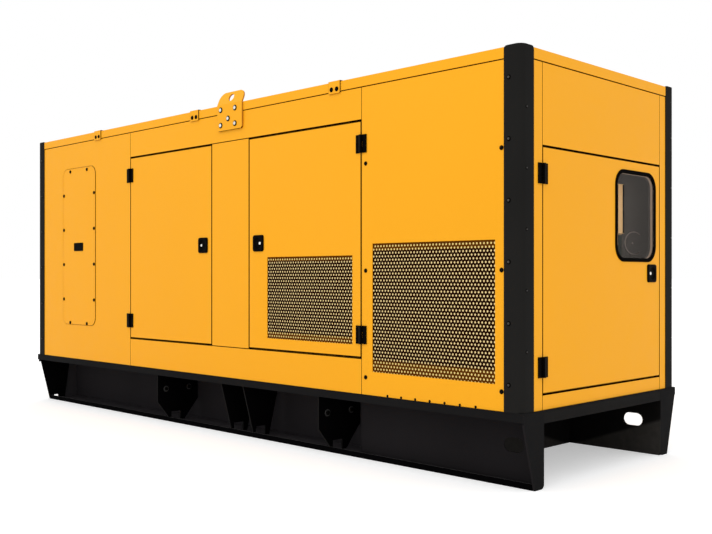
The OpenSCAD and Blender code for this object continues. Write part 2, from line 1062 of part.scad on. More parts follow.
deck_plate();
front_rail();
back_rail();
end_beams();
base_gussets();
cross_walls();
fuel_tank();
front_posts();
back_posts();
front_left_panel();
front_left_cover();
front_header();
front_sill();
front_pillar();
front_inner_post();
front_right_panel();
front_right_grille();
front_door_1();
front_door_1_fittings();
front_door_2();
front_door_2_grille();
front_door_2_fittings();
front_fixed_fittings();
end_jambs();
end_header();
end_sill();
end_door();
end_window_seal();
end_window_glass();
end_door_fittings();
end_fixed_leaves();
back_panels();
back_frame();
back_doors();
back_grilles();
back_fittings();
left_end_panel();
left_end_grille();
roof_cap();
roof_brackets();
lifting_plates();
engine();
alternator();
radiator();
control_cabinet();
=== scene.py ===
import json
import math

import bmesh
import bpy
import numpy as np
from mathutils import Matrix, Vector

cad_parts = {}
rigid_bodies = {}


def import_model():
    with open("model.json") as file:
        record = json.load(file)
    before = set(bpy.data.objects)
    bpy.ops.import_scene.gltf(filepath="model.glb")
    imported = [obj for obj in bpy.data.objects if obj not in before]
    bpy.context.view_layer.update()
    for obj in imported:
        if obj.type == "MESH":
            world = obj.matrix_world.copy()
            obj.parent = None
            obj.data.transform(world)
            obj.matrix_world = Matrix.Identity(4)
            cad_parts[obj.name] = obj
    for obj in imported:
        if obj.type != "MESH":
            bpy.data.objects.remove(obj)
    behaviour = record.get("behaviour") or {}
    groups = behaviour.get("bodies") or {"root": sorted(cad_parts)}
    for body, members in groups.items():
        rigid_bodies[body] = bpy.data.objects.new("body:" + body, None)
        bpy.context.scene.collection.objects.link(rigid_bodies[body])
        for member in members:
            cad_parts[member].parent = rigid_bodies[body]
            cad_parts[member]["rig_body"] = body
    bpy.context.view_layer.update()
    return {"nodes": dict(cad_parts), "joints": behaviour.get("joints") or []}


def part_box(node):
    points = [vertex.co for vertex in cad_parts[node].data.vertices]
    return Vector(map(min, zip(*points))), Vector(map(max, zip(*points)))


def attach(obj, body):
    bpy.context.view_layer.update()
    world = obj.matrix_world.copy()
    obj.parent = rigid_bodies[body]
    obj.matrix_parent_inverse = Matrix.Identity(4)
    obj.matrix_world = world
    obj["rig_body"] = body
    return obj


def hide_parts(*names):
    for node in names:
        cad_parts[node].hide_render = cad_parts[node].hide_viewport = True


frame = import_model()
scene = bpy.context.scene

# ---------- the CAD's own places, in metres ----------

posts_low, posts_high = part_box("front_posts")
HALF_L, HALF_W = posts_high.x, -posts_low.y
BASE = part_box("deck_plate")[1].z
SEAM, ROOF = (corner.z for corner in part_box("roof_cap"))
SKIN = HALF_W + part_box("front_left_panel")[0].y
UP = Vector((0, 0, 1))
LEFT = Vector((-1, 0, 0))
RIGHT = Vector((1, 0, 0))
SIDES = (("front", -1), ("back", 1))


def long_side(side, s, z, d=SKIN):
    """A point on a long side: s from the door end, z above the base, d inwards from the posts."""
    return Vector((HALF_L - s, side * (HALF_W - d), BASE + z))


def door_end(t, z, d=SKIN):
    """A point on the door end: t from the front corner."""
    return Vector((HALF_L - d, t - HALF_W, BASE + z))


def outward(side):
    """The way out of a long side."""
    return Vector((0, side, 0))


# ---------- materials ----------


def linear(*rgb):
    """A colour as it is read off a picture, 0 to 255, turned linear."""
    values = (v / 255 for v in rgb)
    return tuple(v / 12.92 if v <= 0.04045 else ((v + 0.055) / 1.055) ** 2.4 for v in values) + (1.0,)


def shade(rgb, k):
    """A colour k times as light."""
    return tuple(min(1.0, c * k) for c in rgb[:3]) + (1.0,)


DARK_AT, LIGHT_AT = 0.3, 0.7  # a noise lies mostly between these values
MATT = 0.008  # the blacks' specular level, so low that the white room doesn't turn them grey


class Net:
    """A material with a Principled shader and short calls to wire nodes in front of it."""

    def __init__(self, name, **sockets):
        self.mat = bpy.data.materials.new(name)
        self.mat.use_nodes = True
        self.tree = self.mat.node_tree
        self.shader = self.tree.nodes["Principled BSDF"]
        for key, value in sockets.items():
            self.shader.inputs[key.replace("_", " ")].default_value = value
        self.place = self.tree.nodes.new("ShaderNodeTexCoord").outputs["Object"]

    def node(self, kind, inputs=None, **props):
        """A new node with its inputs set or linked."""
        made = self.tree.nodes.new(kind)
        for key, value in props.items():
            setattr(made, key, value)
        for key, value in (inputs or {}).items():
            self.feed(made.inputs[key], value)
        return made

    def feed(self, socket, value):
        if isinstance(value, bpy.types.NodeSocket):
            self.tree.links.new(value, socket)
        else:
            socket.default_value = value

    def noise(self, scale, detail=3.0, rough=0.5, stretch=(1, 1, 1)):
        place = self.node("ShaderNodeMapping", {"Vector": self.place, "Scale": stretch}).outputs[0]
        fields = {"Vector": place, "Scale": scale, "Detail": detail, "Roughness": rough}
        return self.node("ShaderNodeTexNoise", fields).outputs["Fac"]

    def coordinate(self, axis):
        """X, Y or Z of the place on the object."""
        return self.node("ShaderNodeSeparateXYZ", {0: self.place}).outputs[axis]

    def calc(self, operation, *values):
        return self.node("ShaderNodeMath", dict(enumerate(values)), operation=operation).outputs[0]

    def ramp(self, fac, *stops):
        """Colours between stops of (place, colour)."""
        made = self.node("ShaderNodeValToRGB", {"Fac": fac})
        marks = made.color_ramp.elements
        while len(marks) < len(stops):
            marks.new(0.5)
        for mark, (at, colour) in zip(marks, stops):
            mark.position = at
            mark.color = (*colour[:3], 1.0)
        return made.outputs["Color"]

    def drift(self, colour, spread, scale, detail=3.0):
        """One colour that wanders darker and paler by spread."""
        dark, light = shade(colour, 1 - spread), shade(colour, 1 + spread)
        return self.ramp(self.noise(scale, detail), (DARK_AT, dark), (LIGHT_AT, light))

    def level(self, fac, low, high, at0=DARK_AT, at1=LIGHT_AT):
        """low where fac is at0, high where it is at1."""
        fields = {"Value": fac, "From Min": at0, "From Max": at1, "To Min": low, "To Max": high}
        return self.node("ShaderNodeMapRange", fields).outputs["Result"]

    def mix(self, fac, a, b):
        made = self.node("ShaderNodeMix", {0: fac, 6: a, 7: b}, data_type="RGBA")
        return made.outputs[2]

    def bump(self, height, strength, distance):
        made = self.node("ShaderNodeBump", {"Height": height, "Strength": strength, "Distance": distance})
        self.put("Normal", made.outputs["Normal"])

    def put(self, name, value):
        self.tree.links.new(value, self.shader.inputs[name])

    def roughness(self, scale, low, high):
        self.put("Roughness", self.level(self.noise(scale), low, high))


def painted(name, colour, rough, gloss=0.3, vary=0.03, peel=0.25):
    """Sprayed paint: a slow drift in tone, a fine orange-peel skin and uneven gloss."""
    m = Net(name, Specular_IOR_Level=gloss)
    m.put("Base Color", m.drift(colour, vary, 0.9, 2.0))
    m.roughness(14.0, rough - 0.05, rough + 0.05)
    m.bump(m.noise(260.0, 2.0, 0.4), peel, 0.0004)
    return m.mat


def mottled(name, dark, light, rough, grain, bump=0.35, **sockets):
    """A moulded or rubbed surface: two tones of one colour and a grain of its own size."""
    m = Net(name, **sockets)
    m.put("Base Color", m.ramp(m.noise(grain / 20), (DARK_AT, dark), (LIGHT_AT, light)))
    m.roughness(grain / 8, rough - 0.06, rough + 0.06)
    m.bump(m.noise(grain, 2.0), bump, 0.0003)
    return m.mat


def foam():
    """The walls' lining of open foam."""
    m = Net("lining_foam", Specular_IOR_Level=0.05)
    cells = m.node("ShaderNodeTexVoronoi", {"Vector": m.place, "Scale": 26.0}).outputs["Distance"]
    m.put("Base Color", m.ramp(cells, (0.0, (0.030, 0.029, 0.028)), (0.55, (0.012, 0.012, 0.012))))
    m.roughness(70.0, 0.85, 0.97)
    m.bump(cells, 0.9, 0.008)
    return m.mat


def glass():
    """Grey tinted glass, see-through by its alpha."""
    m = Net("window_glass", Alpha=0.15, IOR=1.25)
    dark, light = (0.020, 0.019, 0.018), (0.026, 0.025, 0.023)
    m.put("Base Color", m.ramp(m.noise(2.0), (DARK_AT, dark), (LIGHT_AT, light)))
    m.roughness(6.0, 0.02, 0.05)
    return m.mat


def banded(name, box, foot, head, body, rim):
    """One colour, turning to another near the foot and head, where the frame's flanges lie."""
    low, high = box[0].z, box[1].z
    m = Net(name, Specular_IOR_Level=0.01)
    z = m.coordinate("Z")
    near_foot = m.level(z, 1.0, 0.0, low + foot * 0.8, low + foot)
    near_head = m.level(z, 0.0, 1.0, high - head, high - head * 0.8)
    edge = m.calc("MAXIMUM", near_foot, near_head)
    m.put("Base Color", m.mix(edge, *(m.drift(tone, 0.05, 30.0) for tone in (body, rim))))
    m.roughness(90.0, 0.45, 0.6)
    return m.mat


def shelf(name, inner, outer):
    """Black, painted paler as painted fill light where the shelf lies far in from the base's edge."""
    m = Net(name, Specular_IOR_Level=MATT)
    reach = m.calc("ABSOLUTE", m.coordinate("Y"))
    deep = m.level(reach, 1.0, 0.0, HALF_W - 0.20, HALF_W - 0.15)
    m.put("Base Color", m.mix(deep, *(m.drift(tone, 0.1, 25.0) for tone in (outer, inner))))
    m.roughness(14.0, 0.5, 0.6)
    return m.mat


def shadow_lined(name, shaded_tone, lit_tone, top, rise):
    """Black with a painted patch of light up to a painted shadow line, which is top high in the middle and
    rises along x and y.
    """
    m = Net(name, Specular_IOR_Level=0.006)
    fields = {0: m.place, 1: (-rise[0], -rise[1], 1.0)}
    height = m.node("ShaderNodeVectorMath", fields, operation="DOT_PRODUCT").outputs["Value"]
    # cover is the painted light's share: 1 below the painted shadow line, 0 above it
    cover = m.level(height, 1.0, 0.0, top - 0.010, top + 0.010)
    m.put("Base Color", m.mix(cover, *(m.drift(tone, 0.1, 25.0) for tone in (shaded_tone, lit_tone))))
    m.roughness(40.0, 0.6, 0.8)
    return m.mat


def finned(name, colour, per_metre):
    """A core of thin level fins."""
    m = Net(name, Specular_IOR_Level=0.2, Metallic=0.4)
    fields = {"Vector": m.place, "Scale": per_metre / 6.2832, "Distortion": 0.0}
    wave = m.node("ShaderNodeTexWave", fields, bands_direction="Z").outputs["Fac"]
    m.put("Base Color", m.ramp(wave, (0.2, shade(colour, 0.3)), (0.8, colour)))
    m.roughness(20.0, 0.5, 0.7)
    m.bump(wave, 1.0, 0.003)
    return m.mat


def cast(name, colour, rough=0.6):
    """A painted casting with its sand texture and oil-darkened patches."""
    m = Net(name, Specular_IOR_Level=0.25)
    m.put("Base Color", m.ramp(m.noise(5.0, 5.0), (DARK_AT, shade(colour, 0.75)), (0.65, colour)))
    m.roughness(11.0, rough - 0.12, rough + 0.1)
    m.bump(m.noise(180.0, 4.0, 0.6), 0.5, 0.0012)
    return m.mat


def lit(colour, strength):
    """A little light of its own, for what lies in the dark behind the tinted window."""
    return {"Emission_Color": (*colour, 1), "Emission_Strength": strength}


YELLOW = painted("yellow_paint", linear(255, 176, 30), 0.42, gloss=0.1, vary=0.008)
# brown-black painted shade, for the faces in the gaps, the groove under the roof cap and the lifting
# plates' feet
GAP_SHADE = painted("brown_black_painted_gap_shade", (0.020, 0.0065, 0.0006), 0.8, gloss=0.0, vary=0.1)
HALF_SHADED = painted("yellow_half_shaded", (0.50, 0.21, 0.016), 0.6, gloss=0.02, vary=0.05)
SHADED = painted("yellow_shaded_edge", (0.09, 0.032, 0.004), 0.6, gloss=0.02, vary=0.05)
POST = painted("black_post", (0.0156, 0.0150, 0.0142), 0.5, MATT, 0.12)
BLACK = painted("black_paint", (0.0132, 0.0125, 0.0120), 0.5, MATT, 0.12)
# the rails' black and the deep webs' and tank's black are painted paler as painted fill light
RAIL = painted("black_rail_painted_fill_light", (0.0168, 0.0151, 0.0162), 0.55, MATT, 0.1)
TANK_WEB = painted("black_tank_web_painted_fill_light", (0.0255, 0.0230, 0.0250), 0.55, MATT, 0.1)
DECK = painted("black_deck", (0.0108, 0.0105, 0.0108), 0.5, MATT, 0.1)
# a paler black as a painted highlight, on the runner's top and the gusset nuts' washers
EDGE_HIGHLIGHT = painted("black_painted_edge_highlight", (0.050, 0.048, 0.047), 0.45, gloss=0.1, vary=0.2)
# black painted paler as painted fill light, for faces deep in under the deck
FILL_LIGHT_BLACK = (0.046, 0.042, 0.045)
RECESS_FILL_LIGHT = painted("black_recess_painted_fill_light", FILL_LIGHT_BLACK, 0.55, MATT, 0.1)
SHELF = shelf("black_shelf_painted_fill_light", FILL_LIGHT_BLACK, (0.0130, 0.0121, 0.0127))
# black painted darker as painted shade, on the runner's faces other than its top and the gussets' faces
SHADE_BLACK = painted("black_painted_shade", (0.0020, 0.0018, 0.0021), 0.65, gloss=0.004, vary=0.2)
# the inner faces' tones: dark where the painted shadow falls, paler where painted light falls below it
SHADOW_TONES = (0.0070, 0.0064, 0.0060), (0.036, 0.033, 0.030)
PAINTED_SHADOW = shadow_lined("black_inside_painted_shadow", *SHADOW_TONES, top=-0.512, rise=(0.36, -0.30))
# a paler black as a painted highlight on the hinge knuckles' sides
KNUCKLE_HIGHLIGHT_TONES = (0.0090, 0.0084, 0.0078), (0.0130, 0.0120, 0.0112)
KNUCKLE_HIGHLIGHT = mottled("black_knuckle_painted_highlight", *KNUCKLE_HIGHLIGHT_TONES, 0.4, 700, Specular_IOR_Level=0.03)
PLASTIC_TONES = (0.0018, 0.0016, 0.0015), (0.0030, 0.0027, 0.0025)
PLASTIC = mottled("black_plastic", *PLASTIC_TONES, 0.45, 900, Specular_IOR_Level=0.012)
RUBBER_TONES = (0.0020, 0.0018, 0.0015), (0.0035, 0.0030, 0.0025)
RUBBER = mottled("black_rubber", *RUBBER_TONES, 0.75, 500, Specular_IOR_Level=0.01)
ZINC = mottled("zinc_plate", (0.70, 0.68, 0.62), (0.88, 0.86, 0.80), 0.3, 300, 0.15, Metallic=1.0)
OXIDE_TONES = (0.0022, 0.0018, 0.0018), (0.004, 0.0035, 0.003)
OXIDE = mottled("oxide_steel", *OXIDE_TONES, 0.5, 400, Specular_IOR_Level=0.02)
PLATED = mottled("dull_plate", (0.22, 0.21, 0.20), (0.30, 0.29, 0.27), 0.45, 350, Specular_IOR_Level=0.3)
STEEL_TONES = (0.030, 0.028, 0.026), (0.048, 0.045, 0.042)
STEEL = mottled("plain_steel", *STEEL_TONES, 0.45, 350, Specular_IOR_Level=0.3)
ENAMEL = cast("grey_enamel", (0.20, 0.21, 0.21), 0.45)
CASTING = cast("engine_casting", (0.24, 0.19, 0.09))
FINS = finned("radiator_core", (0.05, 0.05, 0.05), 400)
# the cabinet, the window's reveal and the trunking glow with painted light, though none is a lamp
LIT_GREY = lit((1.0, 0.87, 0.76), 0.038) | {"Specular_IOR_Level": 0.05}
CABINET = mottled("cabinet_paint_painted_glow", (0.056, 0.048, 0.042), (0.064, 0.055, 0.048), 0.6, 700, 0.3, **LIT_GREY)
LIT_PINK = lit((1.0, 0.72, 0.52), 0.24) | {"Specular_IOR_Level": 0.05}
REVEAL = mottled("pink_tan_reveal_painted_glow", (0.10, 0.066, 0.048), (0.12, 0.079, 0.058), 0.6, 500, 0.2, **LIT_PINK)
LIT_TAN = lit((1.0, 0.56, 0.22), 0.26)
TRUNKING = mottled("tan_trunking_painted_glow", (0.93, 0.58, 0.25), (1.0, 0.66, 0.31), 0.5, 400, 0.2, **LIT_TAN)
GREEN_GREY = mottled("green_grey_panel", (0.018, 0.023, 0.014), (0.024, 0.030, 0.019), 0.6, 600, 0.3)
DIAL = mottled("pale_rim", (0.42, 0.34, 0.30), (0.50, 0.41, 0.36), 0.4, 300, 0.1)
FOAM, GLASS = foam(), glass()

# ---------- meshes ----------


WELD = 2e-5
FLAT = math.radians(1)
BROKEN_EDGE = math.radians(30)


def add(name, mesh, body, slot, mats, *nodes, sharp=15):
    """Puts a mesh in the scene as a piece that rides on body and stands for CAD nodes."""
    for mat in mats if isinstance(mats, (list, tuple)) else [mats]:
        mesh.materials.append(mat)
    mesh.shade_smooth()
    mesh.set_sharp_from_angle(angle=math.radians(sharp))
    made = bpy.data.objects.new(name, mesh)
    scene.collection.objects.link(made)
    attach(made, body)
    if nodes:
        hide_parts(*nodes)
    return made


def soften(bm, width):
    """Rounds every edge that turns by more than BROKEN_EDGE."""
    edges = [e for e in bm.edges if len(e.link_faces) == 2 and e.calc_face_angle(0) > BROKEN_EDGE]
    shape = {"offset": width, "segments": 2, "profile": 0.5, "affect": "EDGES", "clamp_overlap": True}
    bmesh.ops.bevel(bm, geom=edges, **shape)


def islands(bm):
    """The mesh's separate solids, each as a list of faces."""
    left = set(bm.faces)
    while left:
        group, queue = [], [left.pop()]
        while queue:
            face = queue.pop()
            group.append(face)
            near = {f for e in face.edges for f in e.link_faces} & left
            left -= near
            queue += near
        yield group


def middle(faces):
    """The middle of the box around the faces."""
    points = [v.co for f in faces for v in f.verts]
    return Vector([(min(p[i] for p in points) + max(p[i] for p in points)) / 2 for i in range(3)])


def skin(node, slot, mats, width=0.0015, pick=None, drop=None, line=0.0, sink=0.003):
    """The CAD node's own shape with its edges broken, in better materials.

    pick(centre, normal) chooses a face's material and drop(centre) leaves a solid out. Faces of
    material 1 get a margin of material 0 that is line wide, and lie sink below it.
    """
    bm = bmesh.new()
    bm.from_mesh(frame["nodes"][node].data)
    bmesh.ops.remove_doubles(bm, verts=bm.verts, dist=WELD)
    bmesh.ops.dissolve_limit(bm, angle_limit=FLAT, verts=bm.verts, edges=bm.edges)
    if drop:
        gone = [f for group in islands(bm) if drop(middle(group)) for f in group]
        bmesh.ops.delete(bm, geom=gone, context="FACES")
    soften(bm, width)
    for f in bm.faces:
        f.material_index = pick(f.calc_center_median(), f.normal) if pick else 0
    if line:
        region = [f for f in bm.faces if f.material_index == 1]
        margin = bmesh.ops.inset_region(bm, faces=region, thickness=line, depth=-sink, use_even_offset=True)
        for f in margin["faces"]:
            f.material_index = 0
    mesh = bpy.data.meshes.new(node + "_skin")
    bm.to_mesh(mesh)
    bm.free()
    return add(node + "_skin", mesh, frame["nodes"][node]["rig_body"], slot, mats, node)


class Heap:
    """Collects small turned, lofted and prismatic shapes into one mesh."""

    def __init__(self):
        self.verts, self.faces, self.marks = [], [], []

    def loft(self, loops, mark=0, ends=(False, True)):
        """Joins closed loops of equally many points. ends says whether to close the first and last."""
        starts = []
        for loop in loops:
            starts.append(len(self.verts))
            self.verts += [Vector(p) for p in loop]
        n = len(loops[0])
        for a, b in zip(starts, starts[1:]):
            for i in range(n):
                j = (i + 1) % n
                self.faces.append((a + i, a + j, b + j, b + i))
                self.marks.append(mark)
        for close, start, step in ((ends[0], starts[0], -1), (ends[1], starts[-1], 1)):
            if close:
                self.faces.append(tuple(start + i for i in range(n))[::step])
                self.marks.append(mark)

    def turned(self, at, axis, profile, sides=16, mark=0, spin=0.0, ends=(False, True)):
        """profile is (radius, height along axis) from the foot to the top."""
        w = Vector(axis).normalized()
        u = w.orthogonal().normalized()
        v = w.cross(u)
        turn = [2 * math.pi * i / sides + spin for i in range(sides)]
        spokes = [u * math.cos(a) + v * math.sin(a) for a in turn]
        self.loft([[Vector(at) + w * h + spoke * r for spoke in spokes] for r, h in profile], mark, ends)

    def block(self, lo, hi, mark=0):
        """A box between two opposite corners."""
        lo, hi = Vector(map(min, lo, hi)), Vector(map(max, lo, hi))
        ring = ((lo.x, lo.y), (hi.x, lo.y), (hi.x, hi.y), (lo.x, hi.y))
        self.loft([[(x, y, z) for x, y in ring] for z in (lo.z, hi.z)], mark, (True, True))

    def made(self, name, body, slot, mats, *nodes, width=0.0, sharp=35):
        """The heap as one piece. width is that of its broken edges."""
        mesh = bpy.data.meshes.new(name)
        mesh.from_pydata(self.verts, [], self.faces)
        mesh.polygons.foreach_set("material_index", self.marks)
        bm = bmesh.new()
        bm.from_mesh(mesh)
        if width:
            soften(bm, width)
        bmesh.ops.recalc_face_normals(bm, faces=bm.faces)
        bm.to_mesh(mesh)
        bm.free()
        return add(name, mesh, body, slot, mats, *nodes, sharp=sharp)


# ---------- fasteners ----------


def scaled(r, *profile):
    """A profile given in parts of r."""
    return [(a * r, h * r) for a, h in profile]


def button_screw(heap, at, axis, r=0.007):
    """A low round head with a hexagonal socket."""
    head = scaled(r, (1, 0), (1, 0.12), (0.9, 0.3), (0.62, 0.46), (0.4, 0.5))
    heap.turned(at, axis, head)
    heap.turned(at, axis, scaled(r, (0.4, 0.5), (0.38, 0.2)), 6)


def hex_bolt(heap, at, axis, r=0.009, tall=0.007, marks=(0, 0, 0)):
    """A hexagonal head on a washer. marks are the washer's, the sides' and the top's materials."""
    lift, shoulder, spin = 0.18 * r, tall - 0.12 * r, 0.2
    heap.turned(at, axis, [(1.5 * r, 0), (1.5 * r, lift)], 20, marks[0])
    heap.turned(at, axis, [(r, lift), (r, shoulder)], 6, marks[1], spin, (False, False))
    heap.turned(at, axis, [(r, shoulder), (0.88 * r, tall)], 6, marks[2], spin)


def ringed_screw(heap, at, axis, r=0.0095):
    """A small plain head, of material 1, in a black cup washer."""
    heap.turned(at, axis, scaled(r, (1, 0), (0.96, 0.12), (0.6, 0.16)), 20)
    heap.turned(at, axis, scaled(r, (0.52, 0.1), (0.5, 0.36), (0.4, 0.42), (0, 0.44)), 14, 1)


def fasteners(name, body, slot, mats, spots, axis, draw=button_screw, **shape):
    """Like fasteners at all the spots, as one piece. axis is the way their heads look."""
    heap = Heap()
    for spot in spots:
        draw(heap, spot, axis, **shape)
    return heap.made(name, body, slot, mats)


# ---------- housing and base ----------

PROUD = 0.002  # how far a cut's own edges may lie past its box
INSIDE_DEPTH = 0.035  # a wall's faces deeper than this are its inner ones
GROOVE_H = 0.0052
WALL = [YELLOW, FOAM, GAP_SHADE]
SHEET_EDGE, DOOR_EDGE = 0.0015, 0.0025
# so the doors' and pillar's broken edges take the gaps' painted shade as well
WITH_EDGES = 0.97  # as wall_finish's flat, it counts the broken edges with the gaps
LINED = 0.022  # the painted margin around a wall's lining


def wall_finish(axis, cuts=(), flat=0.5):
    """Outer faces are painted, inner faces lined, and the faces in the gaps get a brown-black painted
    shade.

    axis is the wall's normal, 0 or 1. cuts are the boxes of the openings cut in it, whose own
    edges stay painted. A face is in a gap if its normal's part along axis is under flat.
    """
    half = (HALF_L, HALF_W)[axis]
    plane = (1 - axis, 2)

    def in_cut(c):
        return any(all(lo[i] - PROUD < c[i] < hi[i] + PROUD for i in plane) for lo, hi in cuts)

    def pick(c, n):
        depth = half - abs(c[axis])
        if abs(n[axis]) > 0.99 and depth > INSIDE_DEPTH:
            return 1 if n[axis] * c[axis] < 0 else 2
        return 2 if abs(n[axis]) < flat and not in_cut(c) else 0

    return pick


long_cuts = [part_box("front_right_grille"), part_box("front_door_2_grille")]
for node in ("front_header", "front_sill", "back_frame"):
    skin(node, "yellow", WALL, SHEET_EDGE, wall_finish(1))
skin("front_pillar", "yellow", WALL, DOOR_EDGE, wall_finish(1, flat=WITH_EDGES))
for node in ("front_left_panel", "front_right_panel", "back_panels"):
    skin(node, "yellow", WALL, SHEET_EDGE, wall_finish(1, long_cuts), line=LINED)
for node in ("front_door_1", "front_door_2", "back_doors"):
    skin(node, "yellow", WALL, DOOR_EDGE, wall_finish(1, long_cuts, WITH_EDGES), line=LINED)
for node in ("end_jambs", "end_header", "end_sill"):
    skin(node, "yellow", WALL, SHEET_EDGE, wall_finish(0))
for node, cut in (("end_door", "end_window_seal"), ("left_end_panel", "left_end_grille")):
    skin(node, "yellow", WALL, SHEET_EDGE, wall_finish(0, [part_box(cut)]), line=LINED)


def cover_finish(centre, normal):
    """The cover's face is painted, and its edges lie in shade."""
    return int(normal.y < -0.5)


def cap_finish(centre, normal):
    """The groove under the cap's edge and the cap's underside get a painted shade."""
    return 1 if centre.z < SEAM + GROOVE_H and normal.z < 0.5 else 0


def plate_finish(centre, normal):
    """The small plates' cut edges lie in shade below and at their ends."""
    return 1 if abs(normal.x) > 0.3 or normal.z < -0.6 else 0


LIFT_EYE = Vector((0.1925, 0.7942, 2.2667))
EYE_REACH = 0.034


def lifting_finish(centre, normal):
    """The eye's bore and the side edges are in half shade, the foot in full."""
    in_bore = (Vector((centre.x, abs(centre.y), centre.z)) - LIFT_EYE).length < EYE_REACH
    if normal.z < -0.6 and not in_bore:
        return 2
    return 1 if abs(normal.x) > 0.3 or in_bore and abs(normal.y) < 0.8 else 0


skin("front_left_cover", "yellow", [SHADED, YELLOW], 0.0004, cover_finish, line=0.003, sink=0.0)
skin("roof_cap", "yellow", [YELLOW, GAP_SHADE], 0.002, cap_finish)
skin("roof_brackets", "yellow", [YELLOW, SHADED], 0.0025, plate_finish)
skin("lifting_plates", "yellow", [YELLOW, HALF_SHADED, GAP_SHADE], 0.0035, lifting_finish)
for node in ("front_posts", "back_posts"):
    skin(node, "black", [POST], SHEET_EDGE)
for node in ("end_beams", "front_inner_post"):
    skin(node, "black", [BLACK], SHEET_EDGE)

RAIL_PAINTS = [RAIL, DECK, SHADE_BLACK, EDGE_HIGHLIGHT, TANK_WEB, SHELF, PAINTED_SHADOW]
PLAIN, BAND, BELLY, HIGHLIT_TOP, DEEP_WEB, LEDGE, INSIDE = range(7)
RUNNER_H, RUNNER_D = 0.033, 0.105
END_BAND, OUTER_BAND, DEEP = 0.02, 0.05, 0.3
# cross walls this near the door end take the painted shadow line
SHADOW_BAY = 1.0


def rail_finish(centre, normal):
    """The runner is painted dark as painted shade, with a painted highlight on its top and a ledge
    behind it painted paler as painted fill light.

    The outer band and the faces at the door end match the deck, the side turned to the middle
    carries a painted shadow line, and a web that lies deep in is painted paler as painted fill light.
    """
    depth = HALF_W - abs(centre.y)
    if centre.z < RUNNER_H + 0.001 and abs(centre.x) < HALF_L - END_BAND:
        if normal.z > 0.9:
            return HIGHLIT_TOP if depth < RUNNER_D + 0.010 else LEDGE
        return BELLY
    if normal.y * centre.y < 0 and abs(normal.y) > 0.9:
        return INSIDE
    if depth < OUTER_BAND or normal.x > 0.9 and centre.x > HALF_L - END_BAND:
        return BAND
    return DEEP_WEB if depth > DEEP and abs(normal.y) > 0.5 else PLAIN


def wall_tone(centre, normal):
    """The cross walls' faces towards the door end: the one nearest to it carries a painted shadow line, and
    the others a painted fill light.
    """
    if normal.x < 0.5:
        return 0
    return 1 if centre.x > HALF_L - SHADOW_BAY else 2


def gusset_finish(centre, normal):
    """The gussets are painted dark as painted shade, apart from the edges and faces that look out to the
    sides.
    """
    return 1 if abs(normal.x) < 0.5 and abs(normal.z) < 0.9 else 0


skin("deck_plate", "black", [DECK], SHEET_EDGE)
for node in ("front_rail", "back_rail"):
    skin(node, "black", RAIL_PAINTS, 0.0012, rail_finish)
skin("base_gussets", "black", [SHADE_BLACK, BLACK], 0.001, gusset_finish)
skin("cross_walls", "black", [TANK_WEB, PAINTED_SHADOW, RECESS_FILL_LIGHT], 0.001, wall_tone)
skin("fuel_tank", "black", [TANK_WEB], 0.001)

# ---------- bolts and screws ----------


def grid(spots, rows):
    """Every spot at every row's height."""
    return [(a, z) for a in spots for z in rows]


LENGTH = 2 * HALF_L
COVER_ENDS = grid((4.483, 4.214), (1.540, 0.294))
COVER_EDGES = grid((4.589, 4.102), (1.346, 1.060, 0.774, 0.487))
PANEL_SCREWS = grid((1.075, 0.124), (0.100, 0.711, 1.325))
FOOT_BOLTS = grid([0.287 + 0.103 * i for i in range(7)], (0.0075,))
BRACKETS = [s + x for s in (1.328, 2.734, 4.041) for x in (-0.0225, 0.0225)]
BRACKET_BOLT_Z, BRACKET_FACE = 1.784, -0.004
ROOF_BOLT_Z, ROOF_BOLT_D = ROOF - BASE + 0.006, 0.104
LIFT_BOLTS = ((2.424, 1.795), (2.270, 1.794), (2.344, 1.731), (2.424, 1.692), (2.270, 1.691))
POST_SCREWS = grid((0.077, LENGTH - 0.077), [0.137 + 0.307 * i for i in range(6)])
END_SCREW_Y = HALF_W - 0.0434
END_SCREWS = grid((-END_SCREW_Y, END_SCREW_Y), [0.304 + 0.3045 * i for i in range(5)])
GUSSET_BOLTS, GUSSET_BOLT_Z = grid((1.473, 3.203), (0.079, 0.283)), -0.152
OUTLET_SCREWS = grid((-0.62, 0.62), (0.1, 0.77, 1.44))
# the lifting bolts' washers and head sides are dark oxide as painted shade, the tops zinc
LIFT_HEAD = {"r": 0.0125, "tall": 0.0074, "marks": (0, 0, 1)}
GUSSET_NUT = {"r": 0.0145, "tall": 0.012, "marks": (1, 0, 0)}
cover_face = -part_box("front_left_cover")[0].y
lift_face = HALF_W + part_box("lifting_plates")[0].y


